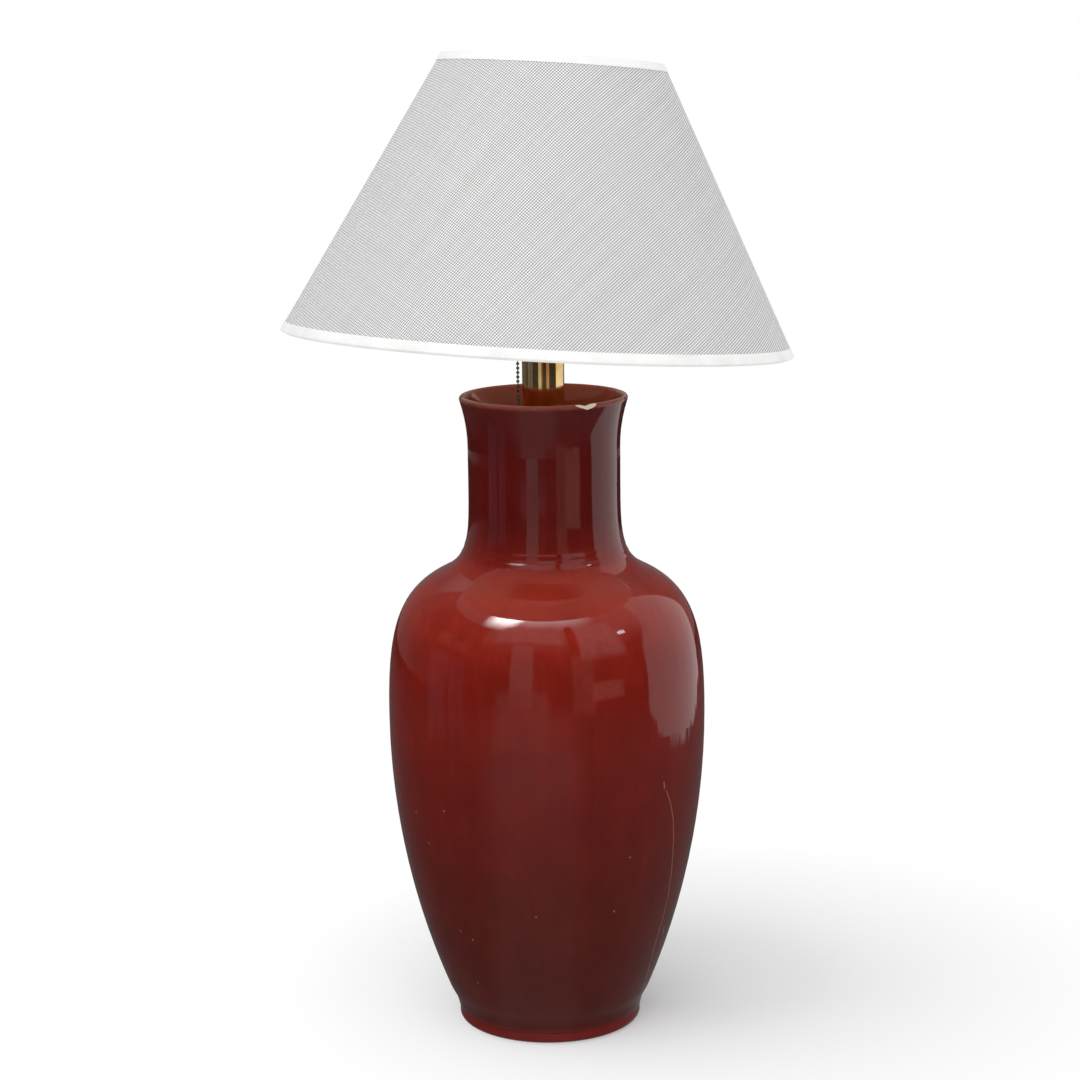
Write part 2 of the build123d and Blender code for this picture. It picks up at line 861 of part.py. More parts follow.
# Hood over the fork, seated on the skirt of the lampholder's cap
guide_z = dome_top + skirt_height + glue_line
guide_roof = eye_z + bead_seat + bead_size + guide_head_room
guide_end = lever_x - lever_arm - fork_length / 2 - guide_end_gap
with BuildPart() as chain_guide:
    with BuildSketch(Plane.XY.offset(guide_z)):
        with Locations((guide_end - guide_wall, 0)):
            Rectangle(
                guide_wall - guide_end,
                2 * (slot_half_width + guide_wall),
                align=(Align.MIN, Align.CENTER),
            )
    extrude(amount=guide_roof + guide_wall - guide_z)
    with BuildSketch(Plane.XY.offset(guide_z)):
        with Locations((guide_end, 0)):
            Rectangle(-guide_end, 2 * slot_half_width, align=(Align.MIN, Align.CENTER))
    extrude(amount=guide_roof - guide_z, mode=Mode.SUBTRACT)
    with BuildSketch(Plane.XY.offset(guide_z)):
        Circle(shell_outer + glue_line)
    extrude(amount=guide_roof + guide_wall - guide_z, mode=Mode.SUBTRACT)

# Ball chain, from the bead in the fork down into the mouth of the vase
chain_top = eye_z + bead_seat
first_bead = chain_top - first_bead_drop
bell_z = foot_z + lip_height - chain_reach
bead_count = int((first_bead - bead_size - bell_z) / bead_pitch) + 1
bead_levels = [chain_top] + [first_bead - bead_pitch * n for n in range(bead_count)]
with BuildPart() as pull_chain:
    with BuildSketch(Plane.XY.offset(bell_z)):
        with Locations((chain_x, 0)):
            Circle(link_radius)
    extrude(amount=chain_top - bell_z)
    with Locations(*[(chain_x, 0, level) for level in bead_levels]):
        Sphere(bead_size)

bell_section = Plane((chain_x, 0, bell_z - bell_length), x_dir=(1, 0, 0), z_dir=(0, -1, 0))
with BuildPart() as chain_bell:
    with BuildSketch(bell_section):
        with BuildLine():
            TangentArc((bell_top, bell_length), (bell_mouth, 0), tangent=-upright)
            Polyline((bell_mouth, 0), (0, 0), (0, bell_length), (bell_top, bell_length))
        make_face()
    revolve(axis=Axis((chain_x, 0, 0), (0, 0, 1)))

# Bulb
bulb_section = Plane((0, 0, bulb_z), x_dir=(1, 0, 0), z_dir=(0, -1, 0))
with BuildPart() as bulb_tip:
    with BuildSketch(bulb_section):
        with BuildLine():
            TangentArc((0, 0), (tip_radius, tip_height), tangent=(1, 0))
            Polyline((tip_radius, tip_height), (0, tip_height), (0, 0))
        make_face()
    revolve(axis=Axis.Z)

bulb_insulator = turned(
    [
        (0, tip_height),
        (tip_radius, tip_height),
        (insulator_radius, insulator_top),
        (0, insulator_top),
    ],
    bulb_section,
)

thread_top = insulator_top + thread_crests * thread_pitch
thread_inner = thread_root - bulb_cap_wall
collar_inner = bulb_neck + seat_play
with BuildPart() as bulb_cap:
    with BuildSketch(bulb_section):
        with BuildLine():
            for crest in range(thread_crests):
                level = insulator_top + crest * thread_pitch
                ThreePointArc(
                    (thread_root, level),
                    (thread_crest, level + thread_pitch / 2),
                    (thread_root, level + thread_pitch),
                )
            Polyline(
                (thread_root, thread_top),
                (collar_inner + bulb_cap_wall, bulb_neck_bottom),
                (collar_inner + bulb_cap_wall, bulb_neck_bottom + bulb_cap_lap),
                (collar_inner, bulb_neck_bottom + bulb_cap_lap),
                (collar_inner, bulb_neck_bottom),
                (thread_inner, thread_top),
                (thread_inner, insulator_top),
                (thread_root, insulator_top),
            )
        make_face()
    revolve(axis=Axis.Z)

cheek = radians(bulb_cheek)
globe_z = bulb_length - bulb_radius
cheek_point = Vector(bulb_radius * cos(cheek), globe_z - bulb_radius * sin(cheek))
cheek_way = Vector(sin(cheek), cos(cheek))
neck_top = Vector(bulb_neck, bulb_neck_top)
with BuildPart() as bulb_glass:
    with BuildSketch(bulb_section):
        with BuildLine():
            swell = Bezier(
                neck_top,
                neck_top + upright * bulb_neck_handle,
                cheek_point - cheek_way * bulb_cheek_handle,
                cheek_point,
            )
            TangentArc(cheek_point, (0, bulb_length), tangent=cheek_way)
            Line((0, bulb_length), (0, bulb_length - bulb_glass_wall))
            inner_neck = inset(swell, 0, bulb_glass_wall)
            inner_cheek = inset(swell, 1, bulb_glass_wall)
            TangentArc(inner_cheek, (0, bulb_length - bulb_glass_wall), tangent=cheek_way)
            Bezier(
                inner_neck,
                inner_neck + upright * bulb_neck_handle,
                inner_cheek - cheek_way * bulb_cheek_handle,
                inner_cheek,
            )
            Polyline(
                inner_neck,
                (bulb_neck - bulb_glass_wall, bulb_neck_bottom),
                (bulb_neck, bulb_neck_bottom),
                neck_top,
            )
        make_face()
    revolve(axis=Axis.Z)

stem_radius = bulb_neck - bulb_glass_wall - seat_play
bulb_stem = turned(
    [
        (0, bulb_neck_bottom),
        (stem_radius, bulb_neck_bottom),
        (stem_radius, bulb_neck_bottom + stem_flare),
        (stem_foot, bulb_neck_bottom + stem_foot_rise),
        (stem_head, stem_top),
        (0, stem_top),
    ],
    bulb_section,
)

filament_z = stem_top + filament_radius
shoulder_z = filament_z + filament_rise
with BuildPart() as bulb_filament:
    with BuildLine(bulb_section) as hoop:
        FilletPolyline(
            (-filament_foot, filament_z),
            (-filament_span, shoulder_z),
            (0, shoulder_z + filament_bow),
            (filament_span, shoulder_z),
            (filament_foot, filament_z),
            radius=filament_bend,
        )
    with BuildSketch(Plane(hoop.wire() @ 0, z_dir=hoop.wire() % 0)):
        Circle(filament_radius)
    sweep(path=hoop.wire())


# Shade
def panel_sheet(near, far):
    """A layer of the shade's wall, between two depths from its outer face."""
    corners = [(near, 0), (far, 0), (far, slant_length), (near, slant_length)]
    return turned(corners, shade_bottom, harp_axis)


def tape_fold(edge, outside, way):
    """A tape folded round an edge and its wire; way is 1 where the shade rises from the edge."""
    outer = -glue_line - tape_thickness
    inner = tape_inner_face + tape_thickness
    corners = [
        (outer, outer),
        (inner, outer),
        (inner, tape_inside),
        (tape_inner_face, tape_inside),
        (tape_inner_face, -glue_line),
        (-glue_line, -glue_line),
        (-glue_line, outside),
        (outer, outside),
    ]
    with BuildSketch(edge) as fold:
        with BuildLine():
            Polyline(*[(depth, way * level) for depth, level in corners], close=True)
        make_face()
    revolve(fold.sketch, axis=harp_axis)


def spider_rods(radius, mode=Mode.ADD):
    """The arms from the fitter's washer to its top ring, as rods of that radius."""
    for arm in range(spider_arms):
        turn = radians(spider_arm_turn + arm * 360 / spider_arms)
        outward = across * cos(turn) + harp_frame.y_dir * sin(turn)
        start = on_harp(0, spider_top) + outward * spider_arm_start
        end = on_harp(0, top_ring_z) + outward * top_ring_radius
        with BuildSketch(Plane(start, z_dir=end - start)) as rod:
            Circle(radius)
        extrude(rod.sketch, amount=(end - start).length, mode=mode)


shade_cover = panel_sheet(0, cover_thickness)
shade_liner = panel_sheet(cover_thickness + glue_line, panel)

with BuildPart() as shade_bottom_tape:
    tape_fold(shade_bottom, tape_outside_bottom, 1)

# The top tape is slit where the arms reach the ring
with BuildPart() as shade_top_tape:
    tape_fold(shade_top, tape_outside_top, -1)
    spider_rods(spider_arm_wire + glue_line, Mode.SUBTRACT)

with BuildPart() as shade_bottom_ring:
    with BuildSketch(shade_bottom):
        with Locations((ring_in, ring_up)):
            Circle(ring_wire)
    revolve(axis=harp_axis)

# Fitter: top ring, arms and washer, welded together
with BuildPart() as shade_fitter:
    with BuildSketch(shade_top):
        with Locations((ring_in, -ring_up)):
            Circle(ring_wire)
    revolve(axis=harp_axis)
    with BuildSketch(harp_frame.offset(spider_z)):
        Circle(spider_washer)
        Circle(stud_radius + free_gap, mode=Mode.SUBTRACT)
    extrude(amount=spider_washer_thickness)
    spider_rods(spider_arm_wire)

# Finial with its threaded bush
finial_section = Plane(on_harp(0, spider_top), x_dir=across, z_dir=-harp_frame.y_dir)
nut_inner = stud_radius + pin_play
nut_outer = nut_inner + finial_nut_wall
finial_nut = turned(
    [
        (nut_inner, 0),
        (nut_outer, 0),
        (nut_outer, finial_nut_height),
        (nut_inner, finial_nut_height),
    ],
    finial_section,
    harp_axis,
)
finial_bore = nut_outer + pin_play
finial_height = finial_ball_height + finial_ball
with BuildPart() as finial:
    with BuildSketch(finial_section):
        with BuildLine():
            TangentArc((finial_ball, finial_ball_height), (0, finial_height), tangent=upright)
            TangentArc(
                (finial_ball, finial_ball_height),
                (finial_waist, finial_waist_height),
                tangent=-upright,
            )
            Polyline(
                (finial_waist, finial_waist_height),
                (finial_base, finial_base_height),
                (finial_base, 0),
                (finial_bore, 0),
                (finial_bore, finial_nut_height + free_gap),
                (stud_radius + free_gap, finial_nut_height + free_gap),
                (stud_radius + free_gap, finial_bore_height),
                (0, finial_bore_height),
                (0, finial_height),
            )
        make_face()
    revolve(axis=harp_axis)

pieces = {
    "base_felt": base_felt,
    "vase": vase,
    "cord_bush": cord_bush,
    "base_gasket": base_gasket,
    "base_washer": base_washer,
    "base_nut": base_nut,
    "threaded_rod": threaded_rod,
    "neck_cap": neck_cap,
    "neck_seal": neck_seal,
    "neck_nut": neck_nut,
    "stem_sleeve": stem_sleeve,
    "check_ring": check_ring,
    "harp_saddle": harp_saddle,
    "harp": harp,
    "harp_stud": harp_stud,
    "ferrule_back": ferrule_back,
    "ferrule_front": ferrule_front,
    "socket_cap": socket_cap,
    "socket_shell": socket_shell,
    "socket_liner": socket_liner,
    "socket_body": socket_body,
    "screw_shell": screw_shell,
    "centre_contact": centre_contact,
    "terminal_screws": terminal_screws,
    "lever_pin": lever_pin,
    "switch_rotor": switch_rotor,
    "pull_lever": pull_lever,
    "return_spring": return_spring,
    "chain_guide": chain_guide,
    "pull_chain": pull_chain,
    "chain_bell": chain_bell,
    "bulb_glass": bulb_glass,
    "bulb_cap": bulb_cap,
    "bulb_insulator": bulb_insulator,
    "bulb_tip": bulb_tip,
    "bulb_stem": bulb_stem,
    "bulb_filament": bulb_filament,
    "shade_cover": shade_cover,
    "shade_liner": shade_liner,
    "shade_fitter": shade_fitter,
    "shade_bottom_ring": shade_bottom_ring,
    "shade_top_tape": shade_top_tape,
    "shade_bottom_tape": shade_bottom_tape,
    "finial": finial,
    "finial_nut": finial_nut,
}
for name, piece in pieces.items():
    piece.part.label = name
    export_step(piece.part, f"parts/{name}.step")
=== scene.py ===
import json
from math import atan2, cos, pi, radians, sin

import bmesh
import bpy
from mathutils import Matrix, Vector


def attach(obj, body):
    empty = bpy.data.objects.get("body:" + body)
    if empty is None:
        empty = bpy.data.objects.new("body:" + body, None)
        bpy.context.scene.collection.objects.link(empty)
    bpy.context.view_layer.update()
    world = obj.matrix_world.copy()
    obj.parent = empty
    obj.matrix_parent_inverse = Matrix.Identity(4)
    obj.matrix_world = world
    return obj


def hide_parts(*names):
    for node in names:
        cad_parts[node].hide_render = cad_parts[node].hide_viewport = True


# Vase lamp in metres, +Z up, -Y towards the viewer. The rigid pieces come with the frame; the shade's
# cloth, its two tapes and the felt under the foot are made here.
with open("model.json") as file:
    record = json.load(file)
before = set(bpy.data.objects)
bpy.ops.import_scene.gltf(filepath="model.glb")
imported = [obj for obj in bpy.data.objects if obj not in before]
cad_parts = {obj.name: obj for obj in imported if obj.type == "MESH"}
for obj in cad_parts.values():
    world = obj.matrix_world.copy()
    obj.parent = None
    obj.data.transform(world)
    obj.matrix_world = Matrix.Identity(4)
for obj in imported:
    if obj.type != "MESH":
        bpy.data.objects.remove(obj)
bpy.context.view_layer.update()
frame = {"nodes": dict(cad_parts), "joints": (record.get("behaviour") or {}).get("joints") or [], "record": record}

# Shade, square to its leaning axis
shade_joint = next(joint for joint in frame["joints"] if joint["name"] == "shade_turn")
shade_pivot = Vector(shade_joint["pos_m"])
shade_axis = Vector(shade_joint["axis"]).normalized()
shade_front = (Vector((0, -1, 0)) - shade_axis * -shade_axis.y).normalized()
shade_right = shade_axis.cross(shade_front)
shade_bottom_radius = 0.2286
shade_top_radius = 0.0985
shade_height = 0.249
shade_drop = 0.0752
shade_slant = atan2(shade_bottom_radius - shade_top_radius, shade_height)

# Cut of the cloth: a flat sector round the cone's tip, glued with a lap at the right of the shade
cloth_thickness = 0.0005
cloth_lap = 0.012
cloth_columns, cloth_rows = 240, 20
seam_turn = radians(92.6)
lap_climb = radians(14)
lap_rise = 1.1 * cloth_thickness
cut_bottom = shade_bottom_radius / sin(shade_slant)
cut_top = shade_top_radius / sin(shade_slant)
cut_angle = (2 * pi + cloth_lap / shade_bottom_radius) * sin(shade_slant)
warp_pitch = 0.00204
weft_pitch = 0.0022

# Tapes folded over the shade's edges and the wires in them, as depths in from the cloth's face
tape_outer = -0.0007
tape_inner = 0.0046
tape_thickness = 0.0005
tape_glue = tape_thickness / 4
tape_inside = 0.006
tape_top_outside = 0.0075
tape_bottom_outside = 0.0085
tape_fold_round = 0.0012
tape_fold_steps = 4
tape_round_steps = 160

# Felt under the foot
felt_radius = 0.077
felt_thickness = 0.0015
felt_edge_round = 0.0004
felt_edge_steps = 3
felt_sides = 120

# Vase: its lip, the chip's turn and spread in degrees, and the recess under the foot
vase_height = 0.5875
lip_radius, lip_level, lip_round = 0.07315, 0.58444, 0.0028
chip_turn, chip_spread = 31.0, 11.5
recess_radius, recess_height = 0.0805, 0.016

# Edges sharper than this stay crisp, and points closer than this are one
crease_angle = radians(40)
merge_distance = 0.00001


def srgb(code):
    """The linear colour of a hex code as it is seen on a screen."""
    shares = [int(code[i:i + 2], 16) / 255 for i in (1, 3, 5)]
    return [s / 12.92 if s <= 0.04045 else ((s + 0.055) / 1.055) ** 2.4 for s in shares] + [1.0]


def per(grain_mm):
    """How many grains of that many millimetres go into a metre."""
    return 1000 / grain_mm


def add(tree, kind, inputs=None, out=0, stops=(), **settings):
    """Adds a node with its settings, sockets and links, and returns one of its outputs."""
    node = tree.nodes.new("ShaderNode" + kind)
    for name, value in settings.items():
        setattr(node, name, value)
    for socket, value in (inputs or {}).items():
        if isinstance(value, bpy.types.NodeSocket):
            tree.links.new(value, node.inputs[socket])
        else:
            node.inputs[socket].default_value = value
    for spot, colour in stops[1:-1]:
        node.color_ramp.elements.new(spot).color = srgb(colour)
    for end in (0, -1) if stops else ():
        node.color_ramp.elements[end].position = stops[end][0]
        node.color_ramp.elements[end].color = srgb(stops[end][1])
    return node.outputs[out]


def surface(name, **sockets):
    """A new material, its tree, its shader with what is the same all over, and the place on the piece."""
    material = bpy.data.materials.new(name)
    material.use_nodes = True
    tree = material.node_tree
    shader = tree.nodes["Principled BSDF"]
    for socket, value in sockets.items():
        shader.inputs[socket.replace("_", " ")].default_value = value
    return material, tree, shader, add(tree, "TexCoord", out="Object")


def heading(turn, rise):
    """The direction at that turn from the viewer's side to the right, and rise above the level."""
    turn, rise = radians(turn), radians(rise)
    return Vector((sin(turn) * cos(rise), -cos(turn) * cos(rise), sin(rise)))


# Camera, with its turn, dip and roll in degrees
camera_lens = 89.67
camera_place = (0, -2.4, 0.932)
camera_turn, camera_dip, camera_roll = 0.108, 11.27, -0.67
camera_data = bpy.data.cameras.new("photo_view")
camera_data.lens = camera_lens
camera = bpy.data.objects.new("photo_view", camera_data)
camera.matrix_world = (
    Matrix.Translation(camera_place)
    @ Matrix.Rotation(radians(camera_turn), 4, "Z")
    @ Matrix.Rotation(radians(90 - camera_dip), 4, "X")
    @ Matrix.Rotation(radians(camera_roll), 4, "Z")
)
bpy.context.scene.collection.objects.link(camera)
bpy.context.scene.camera = camera
bpy.context.scene.view_settings.view_transform = "Standard"

# Two broad soft lights and an even white surround
for name, turn, rise, strength, spread in (
    ("front_light", 6, 52, 1.0, 60), ("left_light", -80, 38, 0.3, 50),
):
    light_data = bpy.data.lights.new(name, "SUN")
    light_data.energy = strength
    light_data.angle = radians(spread)
    light = bpy.data.objects.new(name, light_data)
    light.rotation_euler = heading(turn, rise).to_track_quat("Z", "Y").to_euler()
    light.visible_glossy = False
    bpy.context.scene.collection.objects.link(light)


def looked_at(tree):
    """1 for what the viewer, a mirror or a glass shows, and 0 for the light that falls on the lamp."""
    ray = add(tree, "LightPath").node.outputs
    seen = add(tree, "Math", {0: ray["Is Camera Ray"], 1: ray["Is Glossy Ray"]}, operation="MAXIMUM")
    return add(tree, "Math", {0: seen, 1: ray["Is Transmission Ray"]}, operation="MAXIMUM")


ambient = 0.64
world = bpy.data.worlds.new("studio")
world.use_nodes = True
bpy.context.scene.world = world
tree = world.node_tree
level = add(tree, "MapRange", {"Value": looked_at(tree), "To Min": ambient, "To Max": 1.0})
tree.links.new(level, tree.nodes["Background"].inputs["Strength"])
tree.nodes["Background"].inputs["Color"].default_value = srgb("#ffffff")


def stage_piece(name, material):
    """Makes the active object a named part of the studio."""
    piece = bpy.context.object
    piece.name = name
    piece.data.materials.append(material)
    return piece


# Pale paper floor, with a faint cloudy tone; away from the lamp's shadow, which falls behind the foot
# and to the right, the viewer and the gloss see it as plain white
floor_side = 80
shadow_middle = (0.16, 0.1, 0.0)
shadow_core, shadow_edge = 0.1, 0.42
floor_paper, tree, shader, place = surface("floor_paper", Roughness=0.9)
clouds = add(tree, "TexNoise", {"Vector": place, "Scale": per(300), "Detail": 2.0})
tone = add(tree, "ValToRGB", {"Fac": clouds}, stops=[(0.3, "#fafafa"), (0.7, "#fcfcfc")])
tree.links.new(tone, shader.inputs["Base Color"])
reach = add(
    tree, "VectorMath", {0: place, 1: shadow_middle}, out="Value", operation="DISTANCE"
)
lift = add(tree, "MapRange", {"Value": reach, "From Min": shadow_core, "From Max": shadow_edge})
lift = add(tree, "Math", {0: looked_at(tree), 1: lift}, operation="MULTIPLY")
glow = add(tree, "Emission", {"Color": srgb("#ffffff"), "Strength": 1.0})
paper = add(tree, "MixShader", {0: lift, 1: shader.outputs[0], 2: glow})
tree.links.new(paper, tree.nodes["Material Output"].inputs["Surface"])
bpy.ops.object.select_all(action="DESELECT")
bpy.ops.mesh.primitive_plane_add(size=floor_side)
stage_piece("floor", floor_paper)

# Room that the gloss mirrors; its flat cards are one across before they are sized
room_radius = 3.2
room_height = 3.6
room_sides = 64
wall_distance = 1.2
sky_middle = 0.42
table_level = 0.0008
card_edge = 0.5


def card(name, strength, colour="#ffffff", light=None, cover=None):
    """Makes the active object a card that only the gloss on the lamp sees."""
    paint, tree, _, place = surface(name)
    level = light(tree, place, strength) if light else strength
    shine = add(tree, "Emission", {"Color": srgb(colour), "Strength": level})
    if cover:
        clear = add(tree, "BsdfTransparent")
        shine = add(tree, "MixShader", {0: cover(tree, place), 1: clear, 2: shine})
    tree.links.new(shine, tree.nodes["Material Output"].inputs["Surface"])
    piece = stage_piece(name, paint)
    piece.visible_camera = piece.visible_diffuse = piece.visible_shadow = False
    piece.visible_transmission = False


def hang_card(name, strength, way, middle, width, height, looks):
    """A flat card square to that direction from the vase."""
    bpy.ops.mesh.primitive_plane_add(size=2 * card_edge, rotation=way.to_track_quat("Z", "Y").to_euler())
    bpy.context.object.location = middle
    bpy.context.object.scale = (width, height, 1)
    card(name, strength, **looks)


def wall_card(name, strength, turns, levels, **looks):
    """An upright card between two turns round the vase and two heights."""
    half = radians(turns[1] - turns[0]) / 2
    way = heading((turns[0] + turns[1]) / 2, 0)
    middle = way * wall_distance * cos(half) + Vector((0, 0, (levels[0] + levels[1]) / 2))
    width = 2 * wall_distance * sin(half)
    hang_card(name, strength, way, middle, width, levels[1] - levels[0], looks)


def sky_card(name, strength, turn, rise, distance, width, height, **looks):
    """A card high up, at that distance from the middle of the vase."""
    way = heading(turn, rise)
    middle = Vector((0, 0, sky_middle)) + way * distance
    hang_card(name, strength, way, middle, width, height, looks)


def fading_below(tree, place):
    """Fullest along the upper edge, faded out below and at both ends."""
    full_within, falling = 0.1, 1.5
    spot = add(tree, "SeparateXYZ", {0: place}).node.outputs
    aside = add(tree, "Math", {0: spot["X"]}, operation="ABSOLUTE")
    aside = add(tree, "MapRange", {"Value": aside, "From Min": card_edge, "From Max": full_within},
                interpolation_type="SMOOTHSTEP")
    share = add(tree, "MapRange", {"Value": spot["Y"], "From Min": -card_edge, "From Max": card_edge})
    share = add(tree, "Math", {0: share, 1: falling}, operation="POWER")
    return add(tree, "Math", {0: share, 1: aside}, operation="MULTIPLY")


def soft_edged(tree, place):
    """Uneven, and faded out towards its edges."""
    full_within, thinnest = 0.34, 0.5
    spot = add(tree, "SeparateXYZ", {0: place}).node.outputs
    patches = add(tree, "TexNoise", {"Vector": place, "Scale": 6.0, "Detail": 3.0})
    share = add(tree, "MapRange", {"Value": patches, "From Min": 0.3, "From Max": 0.6, "To Min": thinnest})
    for side in ("X", "Y"):
        aside = add(tree, "Math", {0: spot[side]}, operation="ABSOLUTE")
        aside = add(tree, "MapRange", {"Value": aside, "From Min": card_edge, "From Max": full_within},
                    interpolation_type="SMOOTHSTEP")
        share = add(tree, "Math", {0: share, 1: aside}, operation="MULTIPLY")
    return share


def tall_window(tree, place):
    """A window with a bowed, ragged lower end and slanting upper corners."""
    bow, tatter, sill = 0.22, 0.07, (-0.535, -0.525)
    near_slope, near_edge = 1.28, (-0.53, -0.47)
    far_slope, far_edge = 0.44, (0.425, 0.405)
    spot = add(tree, "SeparateXYZ", {0: place}).node.outputs
    square = add(tree, "Math", {0: spot["X"], 1: spot["X"]}, operation="MULTIPLY")
    below = add(tree, "Math", {0: square, 1: -bow, 2: spot["Y"]}, operation="MULTIPLY_ADD")
    ragged = add(tree, "TexNoise", {"Vector": place, "Scale": 22.0, "Detail": 3.0})
    below = add(tree, "Math", {0: ragged, 1: -tatter, 2: below}, operation="MULTIPLY_ADD")
    near = add(tree, "Math", {0: spot["X"], 1: near_slope}, operation="MULTIPLY")
    near = add(tree, "Math", {0: near, 1: spot["Y"]}, operation="SUBTRACT")
    far = add(tree, "Math", {0: spot["Y"], 1: far_slope, 2: spot["X"]}, operation="MULTIPLY_ADD")
    share = 1.0
    for side, (outer, inner) in ((below, sill), (near, near_edge), (far, far_edge)):
        within = add(tree, "MapRange", {"Value": side, "From Min": outer, "From Max": inner})
        share = add(tree, "Math", {0: share, 1: within}, operation="MULTIPLY")
    return share


def floor_light(tree, place, strength):
    """Palest in front, a little to the left, dimmer at the sides and dimmest behind and far off."""
    pale_way, side_way = heading(-10.5, 0), heading(30, 0)
    pale_near, pale_far = 0.2 * strength, 0.45 * strength
    side_level, back_level = 0.42 * strength, 0.22 * strength
    way = add(tree, "VectorMath", {0: place}, operation="NORMALIZE")
    reach = add(tree, "VectorMath", {0: place}, out="Value", operation="LENGTH")
    pale = add(tree, "MapRange", {"Value": reach, "From Min": 0.5, "From Max": 0.85,
                                  "To Min": pale_near, "To Max": pale_far})
    ahead = add(tree, "VectorMath", {0: way, 1: pale_way}, out="Value", operation="DOT_PRODUCT")
    share = add(tree, "MapRange", {"Value": ahead, "From Min": 0.78, "From Max": 0.96},
                interpolation_type="SMOOTHSTEP")
    aside = add(tree, "VectorMath", {0: way, 1: side_way}, out="Value", operation="DOT_PRODUCT")
    level = add(tree, "MapRange", {"Value": aside, "From Min": 0.6, "From Max": -0.5,
                                   "To Min": side_level, "To Max": back_level})
    level = add(tree, "Math", {0: pale, 1: share, 2: level}, operation="MULTIPLY_ADD")
    far = add(tree, "MapRange", {"Value": reach, "From Min": 0.9, "From Max": 2.6,
                                 "To Min": 1.0, "To Max": 0.25})
    return add(tree, "Math", {0: level, 1: far}, operation="MULTIPLY")


def wall_light(tree, place, strength):
    """A wall that grows paler from the middle up, but dim at the left and beside the window."""
    back_near, back_far = 0.1 * strength, 0.3 * strength
    spot = add(tree, "SeparateXYZ", {0: place}).node.outputs
    back = add(tree, "MapRange", {"Value": spot["Y"], "From Min": 0.0, "From Max": 2.0,
                                  "To Min": back_near, "To Max": back_far})
    above = add(tree, "MapRange", {"Value": spot["Z"], "From Min": -0.4, "From Max": 1.1,
                                   "To Max": strength})
    way = add(tree, "VectorMath", {0: place, 1: (1.0, 1.0, 0.0)}, operation="MULTIPLY")
    way = add(tree, "VectorMath", {0: way}, operation="NORMALIZE")
    for turn, start, end, dimmest in ((150, 0.5, 0.95, 0.5), (-97, 0.68, 0.72, 0.2)):
        aside = add(tree, "VectorMath", {0: way, 1: heading(turn, 0)}, out="Value", operation="DOT_PRODUCT")
        dimming = add(tree, "MapRange", {"Value": aside, "From Min": start, "From Max": end,
                                         "To Min": 1.0, "To Max": dimmest})
        above = add(tree, "Math", {0: above, 1: dimming}, operation="MULTIPLY")
    return add(tree, "Math", {0: back, 1: above}, operation="MAXIMUM")


# A dim round wall with a tall window at the right, a doorway in front and paler patches between, by
# their turns in degrees and heights; and a bright skylight with a small lamp beside it
bpy.ops.mesh.primitive_cylinder_add(
    vertices=room_sides, radius=room_radius, depth=room_height, end_fill_type="NOTHING",
    location=(0, 0, room_height / 2),
)
card("dim_wall", 0.55, light=wall_light)
for name, strength, level, light in (
    ("dim_ceiling", 0.55, room_height, None), ("pale_floor", 0.48, table_level, floor_light),
):
    bpy.ops.mesh.primitive_circle_add(
        vertices=room_sides, radius=room_radius, fill_type="NGON", location=(0, 0, level)
    )
    card(name, strength, light=light)
wall_card("window_card", 1.0, (74, 140), (0.0, 1.75), cover=tall_window)
wall_card("door_card", 0.6, (-26, -9.5), (0.21, 1.03))
wall_card("door_side_card", 0.22, (-9.5, -1), (0.34, 0.72), colour="#ffc0a8")
wall_card("bench_card", 0.42, (-37, 4), (-0.2, 0.36), cover=soft_edged)
wall_card("left_strip_card", 0.28, (-92, -72), (-0.15, 0.6), colour="#e4dcfa", cover=soft_edged)
wall_card("left_line_card", 0.25, (-72, -58), (-0.15, 0.6), colour="#e4dcfa", cover=soft_edged)
wall_card("left_lamp_card", 0.34, (-90, -73), (0.64, 0.92), colour="#ffd8c8", cover=soft_edged)
wall_card("left_globe_card", 0.34, (-73, -58), (0.64, 0.86), colour="#ffd8c8", cover=soft_edged)
wall_card("right_brown_card", 0.6, (16, 34), (0.1, 0.8), colour="#ffd2ba", cover=soft_edged)
wall_card("right_strip_card", 1.0, (29, 55), (0.22, 0.38), colour="#ffcfc0", cover=soft_edged)
wall_card("upper_left_card", 1.0, (-44, 17), (0.95, 1.75), cover=soft_edged)
wall_card("upper_right_card", 1.05, (22, 62), (0.58, 1.75), cover=soft_edged)
wall_card("dark_post_card", 0.0, (17, 24), (0.7, 1.9))
sky_card("top_card", 70.0, -50, 54.5, 2.4, 1.1, 1.08, cover=fading_below)
sky_card("top_faint_card", 9.0, 2, 58.5, 2.4, 2.8, 1.08, cover=fading_below)
sky_card("spot_card", 12.0, 66, 31, 2.6, 0.26, 0.15)

# Finishes, by the record's slots
finishes = {}


def keep_finish(slot, material, shader, **looks):
    """Links what varies over the piece to its shader, and keeps the finish for the slot."""
    for socket, source in looks.items():
        material.node_tree.links.new(source, shader.inputs[socket.replace("_", " ")])
    finishes[slot] = material


